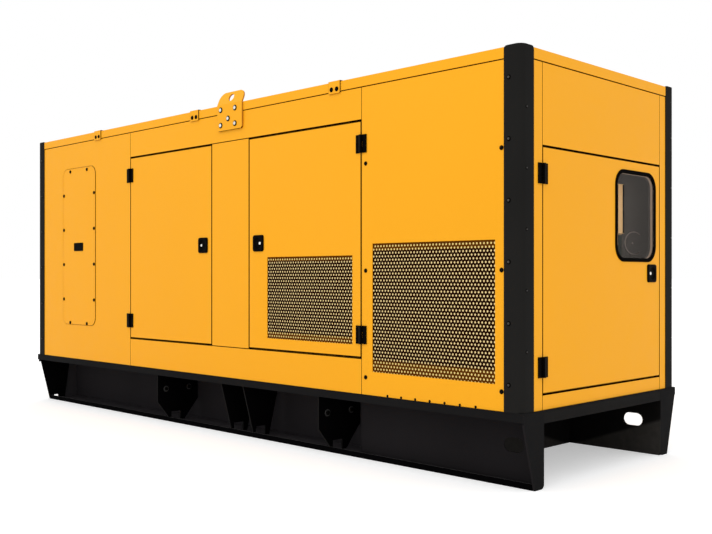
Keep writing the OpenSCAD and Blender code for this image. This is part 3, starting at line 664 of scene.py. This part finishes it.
def side_bolts(word, side):
    """The screws and bolts of one long side."""
    out = outward(side)

    def steel(name, spots, draw=button_screw, mats=OXIDE, **shape):
        fasteners(f"{word}_{name}", "housing", "fittings", mats, spots, out, draw, **shape)

    cover = [long_side(side, *at, HALF_W - cover_face) for at in COVER_ENDS + COVER_EDGES]
    steel("cover_screws", cover, r=0.0135)
    steel("panel_screws", [long_side(side, *at) for at in PANEL_SCREWS], r=0.0125)
    steel("foot_bolts", [long_side(side, *at) for at in FOOT_BOLTS], r=0.0075)
    clips = [long_side(side, s, BRACKET_BOLT_Z, BRACKET_FACE) for s in BRACKETS]
    steel("bracket_bolts", clips, hex_bolt, r=0.0096)
    roof = [long_side(side, s, ROOF_BOLT_Z, ROOF_BOLT_D) for s in BRACKETS]
    fasteners(word + "_roof_bolts", "housing", "yellow", YELLOW, roof, UP, hex_bolt, r=0.0105, tall=0.018)
    eye = [long_side(side, *at, lift_face) for at in LIFT_BOLTS]
    steel("lifting_bolts", eye, hex_bolt, [OXIDE, ZINC], **LIFT_HEAD)
    post = [long_side(side, *at, 0.0) for at in POST_SCREWS]
    steel("post_screws", post, ringed_screw, [RUBBER, STEEL], r=0.0125)
    ties = [long_side(side, s, GUSSET_BOLT_Z, d) for s, d in GUSSET_BOLTS]
    # the gusset nuts' washers carry the painted edge highlight
    mats = [OXIDE, EDGE_HIGHLIGHT]
    fasteners(word + "_gusset_bolts", "housing", "fittings", mats, ties, RIGHT, hex_bolt, **GUSSET_NUT)


for word, side in SIDES:
    side_bolts(word, side)
for word, axis, x in (("door_end", RIGHT, HALF_L), ("radiator_end", LEFT, -HALF_L)):
    for tag, side, screw in (("front", -1, STEEL), ("back", 1, PLATED)):
        post = [Vector((x, y, BASE + z)) for y, z in END_SCREWS if y * side > 0]
        name = f"{word}_{tag}_post_screws"
        fasteners(name, "housing", "fittings", [RUBBER, screw], post, axis, ringed_screw, r=0.0085)
spots = [Vector((SKIN - HALF_L, y, BASE + z)) for y, z in OUTLET_SCREWS]
fasteners("radiator_end_screws", "housing", "fittings", OXIDE, spots, LEFT)

# ---------- hinges, latches and pulls ----------

LATCH_SIZE, LATCH_CORNER = 0.106, 0.014
LEVER_L, LEVER_H = 0.031, 0.011  # half its length and height
BARREL_OFF = 0.0165
ROUND = 48


def rounded(size, corner, count):
    """A square's outline with round corners, as count even angles and its reach at each."""
    half = size / 2
    core = half - corner
    out = []
    for i in range(count):
        a = 2 * math.pi * (i + 0.5) / count
        c, s = abs(math.cos(a)), abs(math.sin(a))
        reach = half / max(c, s)
        if min(c, s) * reach > core:
            along = core * (c + s)
            reach = along + math.sqrt(max(0.0, along * along - 2 * core * core + corner * corner))
        out.append((a, reach))
    return out


def latch(name, body, centre, axis, hand):
    """A flush lever latch in a dished plate, with its lock barrel off the middle on the hand side."""
    along = UP.cross(axis)
    square = rounded(LATCH_SIZE, LATCH_CORNER, ROUND)

    def around(reaches, h):
        """A loop h above the face, as far out at each angle as reaches says."""
        turns = ((along * math.cos(a) + UP * math.sin(a)) * r for a, r in reaches)
        return [centre + turn + axis * h for turn in turns]

    plate = ((1.0, 0), (1.0, 0.004), (0.975, 0.007), (0.94, 0.008))
    dish = ((0.038, 0.008), (0.0365, 0.0072), (0.033, 0.001))
    loops = [around([(a, r * k) for a, r in square], h) for k, h in plate]
    loops += [around([(a, r) for a, _ in square], h) for r, h in dish]
    heap = Heap()
    heap.loft(loops)
    reach = UP * LEVER_H + along * LEVER_L
    heap.block(centre - reach + axis * 0.001, centre + reach + axis * 0.003)
    heap.turned(centre + axis * 0.001, axis, [(0.0060, 0), (0.0060, 0.004), (0.0050, 0.005)], 28)
    heap.made(name, body, "fittings", [PLASTIC], width=0.0007)
    barrel = Heap()
    spot = centre + along * (hand * BARREL_OFF) + axis * 0.0020
    nose = [(0.0095, 0), (0.0095, 0.0024), (0.0085, 0.0034), (0.0050, 0.0038), (0.0018, 0.0039)]
    barrel.turned(spot, axis, nose, 24)
    barrel.made(name + "_barrel", body, "fittings", [ZINC])


def pull(name, side, s, z, w, h, tall):
    """A flush pull: a frame around a deep tray, with a finger lip along its top."""
    axis = outward(side)
    along = UP.cross(axis)
    centre = long_side(side, s, z, HALF_W - cover_face)
    corners = ((-1, -1), (1, -1), (1, 1), (-1, 1))

    def loop(inset, depth, r):
        pts = []
        for sx, sy in corners:
            start = math.atan2(sy, sx) - math.pi / 4
            for k in range(5):
                a = start + math.pi / 8 * k
                x = sx * (w / 2 - inset - r) + r * math.cos(a)
                y = sy * (h / 2 - inset - r) + r * math.sin(a)
                pts.append(centre + along * x + UP * y + axis * depth)
        return pts

    heap = Heap()
    rim = ((0, 0, 0.008), (0, tall - 0.001, 0.008), (0.001, tall, 0.007), (0.007, tall, 0.005))
    tray = ((0.008, tall - 0.001, 0.005), (0.010, 0.0006, 0.004))
    heap.loft([loop(*step) for step in rim + tray])
    lip = centre + UP * (h / 2 - 0.02)
    reach = along * (w / 2 - 0.011)
    heap.block(lip - reach + axis * 0.0006, lip + reach + UP * 0.01 + axis * (tall - 0.0004))
    return heap.made(name, "housing", "fittings", [PLASTIC])


LEAF_REACH = 0.027
LEAF_ROWS = (-0.036, 0.0, 0.036)
COUNTERSUNK = [(0.0058, 0), (0.0056, 0.0005), (0.003, 0.0006), (0.0028, -0.0005)]


def hinge_screws(name, body, axis, pins, way):
    """Countersunk heads on the leaves that lie way of the pins, seen from outside."""
    heap = Heap()
    for pin in pins:
        for z in LEAF_ROWS:
            heap.turned(pin + UP.cross(axis) * (way * LEAF_REACH) + UP * z, axis, COUNTERSUNK, 14)
    heap.made(name, body, "fittings", [OXIDE])


FITTING_REACH = 0.06
KNUCKLE_R = 0.0045
GAP_SIDE, GAP_END = 0.006, 0.012  # beside a door's latch, and at its head and foot


def near(*spots):
    """Tells a latch or a pull from the hinges in a node."""
    return lambda c: any((c - spot).length < FITTING_REACH for spot in spots)


def hinge_finish(i, pins):
    """The knuckles' sides carry a painted highlight: pins are the pins' places along axis i."""
    return lambda c, n: int(any(abs(c[i] - pin) < KNUCKLE_R for pin in pins) and abs(n.z) < 0.5)


def hinge_rows(low, high, foot, head):
    """The middles of a door's two hinges, foot and head in from its opening."""
    return low.z - GAP_END + foot, high.z + GAP_END - head


PULL_S, PULL_Z, PULL_W, PULL_H, PULL_T = 4.3465, 0.9165, 0.145, 0.067, 0.004
LATCH_Z, END_LATCH_Z = 0.891, 0.696
LATCH_IN, END_LATCH_IN = 0.100, 0.104  # from the opening's edge
LEAF_D = SKIN - 0.005
door_low, door_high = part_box("front_door_1")
door_rows = hinge_rows(door_low, door_high, 0.140, 0.142)
end_low, end_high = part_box("end_door")
end_rows = hinge_rows(end_low, end_high, 0.144, 0.146)
hinge_at = {j["name"]: j["pos_m"] for j in frame["joints"]}
pin_1, pin_2 = hinge_at["front_door_1_hinge"][0], hinge_at["front_door_2_hinge"][0]
end_pin = hinge_at["end_door_hinge"][1]
latch_1 = HALF_L - door_high.x - GAP_SIDE + LATCH_IN
latch_2 = HALF_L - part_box("front_door_2")[0].x + GAP_SIDE - LATCH_IN
end_latch = HALF_W + end_high.y + GAP_SIDE - END_LATCH_IN
FITTINGS = {
    "front": ("front_door_1_fittings", "front_door_2_fittings", "front_fixed_fittings"),
    "back": ("back_fittings",),
}
for word, side in SIDES:
    out = outward(side)
    one, two = (long_side(side, s, LATCH_Z) for s in (latch_1, latch_2))
    tray = long_side(side, PULL_S, PULL_Z)
    bodies = ("side_door_1", "side_door_2") if side < 0 else ("housing", "housing")
    finish = hinge_finish(0, (pin_1, pin_2))
    for node in FITTINGS[word]:
        skin(node, "fittings", [PLASTIC, KNUCKLE_HIGHLIGHT], 0.0012, finish, near(one, two, tray))
    latch(word + "_door_1_latch", bodies[0], one, out, side)
    latch(word + "_door_2_latch", bodies[1], two, out, -side)
    pull(word + "_cover_pull", side, PULL_S, PULL_Z, PULL_W, PULL_H, PULL_T)
    for tag, body, x, way in (("1", bodies[0], pin_1, -side), ("2", bodies[1], pin_2, side)):
        pins = [long_side(side, HALF_L - x, z - BASE, LEAF_D) for z in door_rows]
        hinge_screws(f"{word}_door_{tag}_leaf_screws", body, out, pins, way)
        hinge_screws(f"{word}_frame_{tag}_leaf_screws", "housing", out, pins, -way)

end_spot = door_end(end_latch, END_LATCH_Z)
end_finish = hinge_finish(1, [end_pin])
skin("end_door_fittings", "fittings", [PLASTIC, KNUCKLE_HIGHLIGHT], 0.0012, end_finish, near(end_spot))
skin("end_fixed_leaves", "fittings", [PLASTIC, KNUCKLE_HIGHLIGHT], 0.0012, end_finish)
latch("end_door_latch", "end_access_door", end_spot, RIGHT, -1)
end_pins = [door_end(end_pin + HALF_W, z - BASE, LEAF_D) for z in end_rows]
hinge_screws("end_door_leaf_screws", "end_access_door", RIGHT, end_pins, 1)
hinge_screws("end_frame_leaf_screws", "housing", RIGHT, end_pins, -1)

# ---------- window ----------

SEAL_R = 0.095


def window_loop(edge, d):
    """The window's outline, edge inside its outer outline and d behind the posts' face."""
    lo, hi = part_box("end_window_seal")
    r = SEAL_R - edge
    pts = []
    for sy, sz in ((-1, -1), (1, -1), (1, 1), (-1, 1)):
        y = (hi.y if sy > 0 else lo.y) - sy * (edge + r)
        z = (hi.z if sz > 0 else lo.z) - sz * (edge + r)
        start = math.atan2(sz, sy) - math.pi / 4
        for k in range(9):
            a = start + math.pi / 16 * k
            pts.append((HALF_L - d, y + r * math.cos(a), z + r * math.sin(a)))
    return pts


def window_seal():
    """Rubber channel with a locking strip in its face, and a reveal and a grey back that glow with painted
    light.

    Each part of the section is a list of (inside the outline, behind the posts' face).
    """
    wide, lip, reveal, back = 0.022, 0.0120, 0.0255, 0.0388
    rubber = (
        (0.0, SKIN), (0.0, 0.0015), (0.002, -0.0006), (0.007, -0.001), (0.0085, 0.0008), (0.0105, 0.0008),
        (0.012, -0.001), (0.0185, -0.001), (0.0215, 0.0012), (wide, 0.003), (wide, lip),
    )
    pale = ((wide, lip), (wide, reveal))
    grey = ((wide, reveal), (wide, back), (wide / 2, back), (wide / 2, SKIN))
    heap = Heap()
    for mark, part in enumerate((rubber, pale, grey)):
        heap.loft([window_loop(e, d) for e, d in part], mark, (False, False))
    paints = [RUBBER, REVEAL, CABINET]
    heap.made("end_window_seal_ring", "end_access_door", "rubber", paints, "end_window_seal", sharp=50)


window_seal()
skin("end_window_glass", "glass", [GLASS], 0.0005)

# ---------- grilles ----------

PITCH, ROW, HOLE_R, SHEET = 0.02257, 0.01936, 0.0064, 0.0015
HOLE_SIDES = 12
TOP_RIM = 0.009
BAFFLE = (0.0018, 0.003)  # the depths of its faces
HOLE_WELD = 1e-5


def perforated(w, h, first):
    """Points (u, v, depth) and faces of a sheet with round holes in staggered rows.

    first is one hole's place from the lower right corner. Holes run out over the left, right and
    lower edges, and the top keeps a plain rim.
    """
    turn = 2 * np.pi * np.arange(HOLE_SIDES) / HOLE_SIDES
    ring = np.stack([np.cos(turn), np.sin(turn)], 1)
    half = np.array((PITCH / 2, ROW / 2))
    reach = (half / np.maximum(abs(ring), 1e-9)).min(axis=1, keepdims=True)
    corners = np.array([(1, 1), (-1, 1), (-1, -1), (1, -1)]) * half
    flat = np.concatenate([ring * reach, corners, ring * HOLE_R, ring * HOLE_R])
    depth = np.concatenate([np.zeros(2 * HOLE_SIDES + 4), np.full(HOLE_SIDES, SHEET)])
    cell = np.concatenate([flat, depth[:, None]], 1)
    faces = []
    inner, back = HOLE_SIDES + 4, 2 * HOLE_SIDES + 4
    for i in range(HOLE_SIDES):
        j = (i + 1) % HOLE_SIDES
        corner = (HOLE_SIDES + i // 3,) if i % 3 == 1 else ()
        faces.append((i, *corner, j, inner + j, inner + i))
        faces.append((inner + i, inner + j, back + j, back + i))
    last = int((h - TOP_RIM - HOLE_R - first[1]) / ROW)
    centres = [
        (w - first[0] + (row % 2) * PITCH / 2 - i * PITCH, first[1] + row * ROW)
        for row in range(last + 1)
        for i in range(-1, int(w / PITCH) + 2)
    ]
    verts = np.concatenate([cell + (u, v, 0) for u, v in centres])
    verts[:, 0] = np.clip(verts[:, 0], 0, w)
    verts[:, 1] = np.clip(verts[:, 1], 0, h)
    step = len(cell)
    every = [tuple(k * step + i for i in f) for k in range(len(centres)) for f in faces]
    top = first[1] + (last + 0.5) * ROW
    strip = [(0, top, 0), (w, top, 0), (w, h, 0), (0, h, 0)]
    every.append(tuple(len(verts) + i for i in range(4)))
    return np.concatenate([verts, strip]), every


def grille(name, body, box, axis, first, paints, node):
    """A perforated sheet standing for a CAD node, and the pale baffle close behind it."""
    lo, hi = box
    along = UP.cross(axis)
    w, h = abs((hi - lo).dot(along)), hi.z - lo.z
    corner = Vector([(lo if (along + UP - axis)[i] > 0 else hi)[i] for i in range(3)])
    verts, faces = perforated(w, h, first)
    places = np.array(corner) + verts @ np.array([along, UP, -axis])
    mesh = bpy.data.meshes.new(name)
    mesh.from_pydata(places.tolist(), [], faces)
    bm = bmesh.new()
    bm.from_mesh(mesh)
    bmesh.ops.remove_doubles(bm, verts=bm.verts, dist=HOLE_WELD)
    bmesh.ops.dissolve_degenerate(bm, edges=bm.edges, dist=HOLE_WELD)
    bm.to_mesh(mesh)
    bm.free()
    add(name, mesh, body, "grille", paints[0], node)
    heap = Heap()
    heap.block(corner - axis * BAFFLE[0], corner + along * w + UP * h - axis * BAFFLE[1])
    heap.made(name + "_baffle", body, "yellow", paints[1])


def mirrored(box):
    """The same box on the back long side."""
    lo, hi = box
    return Vector((lo.x, -hi.y, lo.z)), Vector((hi.x, -lo.y, hi.z))


SHEET_TONES = ((0.015, 0.0028, 0.0002), (0.105, 0.030, 0.0006))
BAFFLE_TONES = (linear(255, 226, 160), linear(255, 226, 140))


def sheet_paints(word, box, foot, head):
    """The paints of a grille's sheet and baffle, with foot and head the flanges' heights."""
    tones = (("sheet", SHEET_TONES), ("baffle", BAFFLE_TONES))
    return [banded(f"{word}_{part}", box, foot, head, *pair) for part, pair in tones]


inlet, louvre = long_cuts
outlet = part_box("left_end_grille")
# each grille's first hole and paints
INLET = (0.0163, -0.0010), sheet_paints("inlet", inlet, 0.075, 0.045)
LOUVRE = (0.0140, -0.0026), sheet_paints("door", louvre, 0.045, 0.030)
OUTLET = (0.0163, -0.0010), sheet_paints("outlet", outlet, 0.075, 0.045)
FRONT, BACK = outward(-1), outward(1)
grille("front_right_grille_sheet", "housing", inlet, FRONT, *INLET, "front_right_grille")
grille("front_door_2_grille_sheet", "side_door_2", louvre, FRONT, *LOUVRE, "front_door_2_grille")
grille("back_right_grille_sheet", "housing", mirrored(inlet), BACK, *INLET, "back_grilles")
grille("back_door_2_grille_sheet", "housing", mirrored(louvre), BACK, *LOUVRE, "back_grilles")
grille("left_end_grille_sheet", "housing", outlet, LEFT, *OUTLET, "left_end_grille")

# ---------- machinery ----------


def engine():
    """The block with its rocker covers, side covers, plugs, inlet stubs, rail and filters."""
    skin("engine", "engine", [CASTING], 0.012)
    lo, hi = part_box("engine")
    length = hi.x - lo.x
    bank, cylinders = 0.090, 6
    side_y, plug_z, stub_y, stub_z = 0.312, 0.93, 0.17, hi.z - 0.16
    covers, trim = Heap(), Heap()
    for i in range(cylinders):
        x = lo.x + bank + (length - 2 * bank) * (i + 0.5) / cylinders
        covers.block((x - 0.105, -0.172, hi.z - 0.085), (x + 0.105, 0.172, hi.z - 0.002))
        for y in (-side_y, side_y):
            covers.block((x - 0.095, y - 0.003, 0.58), (x + 0.095, y + 0.003, 0.80))
            trim.turned((x, y, plug_z), (0, y, 0), [(0.030, -0.004), (0.030, 0.004), (0.024, 0.006)], 20)
        trim.turned((x, stub_y, stub_z), (0, 1, 0), [(0.042, 0), (0.040, 0.075)], 20)
    covers.made("engine_covers", "housing", "engine", [CASTING], width=0.008)
    rail = [(0.05, 0), (0.055, 0.02), (0.055, length - 0.2), (0.05, length - 0.18)]
    trim.turned((lo.x + bank, 0.262, stub_z), RIGHT, rail, 24, ends=(True, True))
    trim.made("engine_trim", "housing", "engine", [OXIDE])
    filters = Heap()
    for i in range(3):
        base = (lo.x + 0.35 + 0.16 * i, -0.25, 1.107)
        filters.turned(base, UP, [(0.05, 0), (0.055, 0.01), (0.055, 0.19), (0.045, 0.205)], 28)
    filters.made("engine_filters", "housing", "engine", [ENAMEL])


def alternator():
    """A ribbed frame between two end rings, with a vented end bell and its feet."""
    lo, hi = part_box("alternator")
    r = (hi.y - lo.y) / 2
    length = hi.x - lo.x
    at = Vector((lo.x, 0, hi.z - r))
    waist, crest = r * 0.93, r * 0.97
    profile = [(r * 0.80, 0.0), (r * 0.80, 0.02), (r, 0.02), (r, 0.07), (waist, 0.08)]
    ribs = 9
    for i in range(ribs):
        x = 0.12 + i * (length - 0.34) / ribs
        profile += [(waist, x), (crest, x + 0.004), (crest, x + 0.022), (waist, x + 0.026)]
    profile += [(waist, length - 0.17), (r, length - 0.16), (r, length - 0.10)]
    profile += [(r * 0.9, length - 0.04), (r * 0.6, length)]
    heap = Heap()
    heap.turned(at, RIGHT, profile, 64, ends=(True, True))
    foot_h, web_top = 0.03, at.z - 0.2
    for side in (-1, 1):
        foot = 0.225 * side
        heap.block((lo.x + 0.05, foot, lo.z), (hi.x - 0.05, foot - 0.07 * side, lo.z + foot_h))
        for x in (0.12, 0.42, 0.70):
            heap.block((lo.x + x, foot, lo.z + foot_h), (lo.x + x + 0.02, foot - 0.06 * side, web_top))
    heap.made("alternator_frame", "housing", "machine", [ENAMEL], "alternator")
    vents, count = Heap(), 24
    for i in range(count):
        a = 2 * math.pi * i / count
        way = Vector((0, math.cos(a), math.sin(a)))
        vents.turned(at + RIGHT * (length - 0.065) + way * waist, way, [(0.018, 0), (0.018, r * 0.045)], 12)
    vents.made("alternator_vents", "housing", "machine", [OXIDE])


def radiator():
    """A finned core in a bolted frame with top and bottom tanks."""
    lo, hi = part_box("radiator")
    rim, low_tank, top_tank, recess = 0.06, 0.11, 0.13, 0.02
    heap = Heap()
    heap.block((lo.x, lo.y, lo.z), (hi.x, lo.y + rim, hi.z))
    heap.block((lo.x, hi.y - rim, lo.z), (hi.x, hi.y, hi.z))
    heap.block((lo.x, lo.y + rim, lo.z), (hi.x, hi.y - rim, lo.z + low_tank))
    heap.block((lo.x, lo.y + rim, hi.z - top_tank), (hi.x, hi.y - rim, hi.z))
    heap.made("radiator_frame", "housing", "radiator", [OXIDE], "radiator", width=0.004)
    core = Heap()
    core.block((lo.x + recess, lo.y + rim, lo.z + low_tank), (hi.x - recess, hi.y - rim, hi.z - top_tank))
    core.made("radiator_fins", "housing", "radiator", [FINS], width=0.002)


CABINET_PAINTS = [TRUNKING, GREEN_GREY, OXIDE]
CABINET_STRIPS = (  # (t, z) of two corners as door_end has them, how far they stand out, the paint
    ((1.155, 0.9315), (1.202, 1.2230), 0.010, 0),
    ((1.150, 0.700), (1.200, 0.925), 0.008, 1),
    ((1.202, 0.9315), (1.226, 1.2230), 0.010, 2),
    ((1.135, 0.9315), (1.155, 1.2230), 0.010, 2),
)
DIAL_AT, DIAL_HALF_W, DIAL_HALF_H = (1.3546, 0.8785), 0.108, 0.068
DIAL_FROM, DIAL_SPAN = 48, 264  # degrees
DIAL_STEPS = 40


def cabinet():
    """The panel seen through the window, with its trunking, panel strips and a dial's open rim."""
    skin("control_cabinet", "cabinet", [CABINET], 0.003)
    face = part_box("control_cabinet")[1].x

    def place(t, z, out=0.0):
        return Vector((face + out, t - HALF_W, BASE + z))

    trim = Heap()
    for low, high, out, paint in CABINET_STRIPS:
        trim.block(place(*low), place(*high, out), paint)
    trim.made("cabinet_trunking", "housing", "cabinet", CABINET_PAINTS, width=0.0015)
    dial = Heap()
    centre = place(*DIAL_AT)
    arc = [math.radians(DIAL_FROM + DIAL_SPAN * i / DIAL_STEPS) for i in range(DIAL_STEPS + 1)]

    def on_rim(q, k, h):
        """A point at angle q, k outside the rim's line and h out from the face."""
        return centre + Vector((h, math.cos(q) * (DIAL_HALF_W + k), math.sin(q) * (DIAL_HALF_H + k)))

    for a, b in zip(arc, arc[1:]):
        corners = ((a, -0.003), (b, -0.003), (b, 0.002), (a, 0.002))
        dial.loft([[on_rim(q, k, h) for q, k in corners] for h in (0.0, 0.004)], 0, (True, True))
    dial.turned(centre - Vector((0, 0.020, 0)), RIGHT, [(0.006, 0), (0.005, 0.006)])
    dial.made("cabinet_dial", "housing", "cabinet", [DIAL])


engine()
alternator()
radiator()
cabinet()

# ---------- stage ----------

FLOOR_REACH = 250.0
FLOOR_COLOUR = (0.80, 0.80, 0.80, 1)
FLOOR_LIFT = 0.42  # the floor's own light, seen but not cast
WHITE = (1, 1, 1, 1)
LAMP_AT, LAMP_TARGET = Vector((2.5, -5.0, 6.5)), Vector((0.6, 0, 1.0))
LAMP_SIZE, LAMP_WATTS = (6.0, 4.0), 80
FOCAL, SHIFT, IMAGE_W, SENSOR = 941.23, 8.32, 712.0, 36.0  # pixels, pixels, pixels, mm
CAMERA_AT = (5.2087, -4.6698, 1.0803)
CAMERA_WAY = Vector((-0.70464, 0.70956, 0.0))
CLIP = (0.05, 600.0)


def aim(thing, at, way):
    """Puts a lamp or camera at a place, looking way with its top up."""
    thing.location = at
    thing.rotation_mode = "QUATERNION"
    thing.rotation_quaternion = way.to_track_quat("-Z", "Y")
    scene.collection.objects.link(thing)


def stage():
    """The pale floor with the object's shadow, the white room and one soft lamp."""
    r = FLOOR_REACH
    mesh = bpy.data.meshes.new("floor")
    mesh.from_pydata([(-r, -r, 0), (r, -r, 0), (r, r, 0), (-r, r, 0)], [], [(0, 1, 2, 3)])
    floor = bpy.data.objects.new("floor", mesh)
    scene.collection.objects.link(floor)
    mat = bpy.data.materials.new("floor_pale")
    mat.use_nodes = True
    tree = mat.node_tree
    tree.nodes.clear()
    new, link = tree.nodes.new, tree.links.new
    out = new("ShaderNodeOutputMaterial")
    diffuse = new("ShaderNodeBsdfDiffuse")
    diffuse.inputs["Color"].default_value = FLOOR_COLOUR
    glow = new("ShaderNodeEmission")
    path = new("ShaderNodeLightPath")
    seen = path.outputs["Is Camera Ray"]
    for ray in ("Is Glossy Ray", "Is Transmission Ray"):
        either = new("ShaderNodeMath")
        either.operation = "MAXIMUM"
        link(seen, either.inputs[0])
        link(path.outputs[ray], either.inputs[1])
        seen = either.outputs[0]
    lift = new("ShaderNodeMath")
    lift.operation = "MULTIPLY"
    lift.inputs[1].default_value = FLOOR_LIFT
    both = new("ShaderNodeAddShader")
    link(seen, lift.inputs[0])
    link(lift.outputs[0], glow.inputs["Strength"])
    link(diffuse.outputs[0], both.inputs[0])
    link(glow.outputs[0], both.inputs[1])
    link(both.outputs[0], out.inputs["Surface"])
    mesh.materials.append(mat)

    world = bpy.data.worlds.new("studio")
    scene.world = world
    world.use_nodes = True
    sky = world.node_tree.nodes["Background"]
    sky.inputs["Color"].default_value = WHITE
    sky.inputs["Strength"].default_value = 1.0

    lamp = bpy.data.lights.new("soft_key", "AREA")
    lamp.shape = "RECTANGLE"
    lamp.size, lamp.size_y = LAMP_SIZE
    lamp.energy = LAMP_WATTS
    aim(bpy.data.objects.new("soft_key", lamp), LAMP_AT, LAMP_TARGET - LAMP_AT)


def camera():
    """The photograph's level view, fitted in its own pixels."""
    data = bpy.data.cameras.new("camera")
    data.sensor_width = SENSOR
    data.lens = FOCAL / IMAGE_W * SENSOR
    data.shift_y = SHIFT / IMAGE_W
    data.clip_start, data.clip_end = CLIP
    scene.camera = bpy.data.objects.new("camera", data)
    aim(scene.camera, CAMERA_AT, CAMERA_WAY)


stage()
camera()
scene.view_settings.view_transform = "Standard"
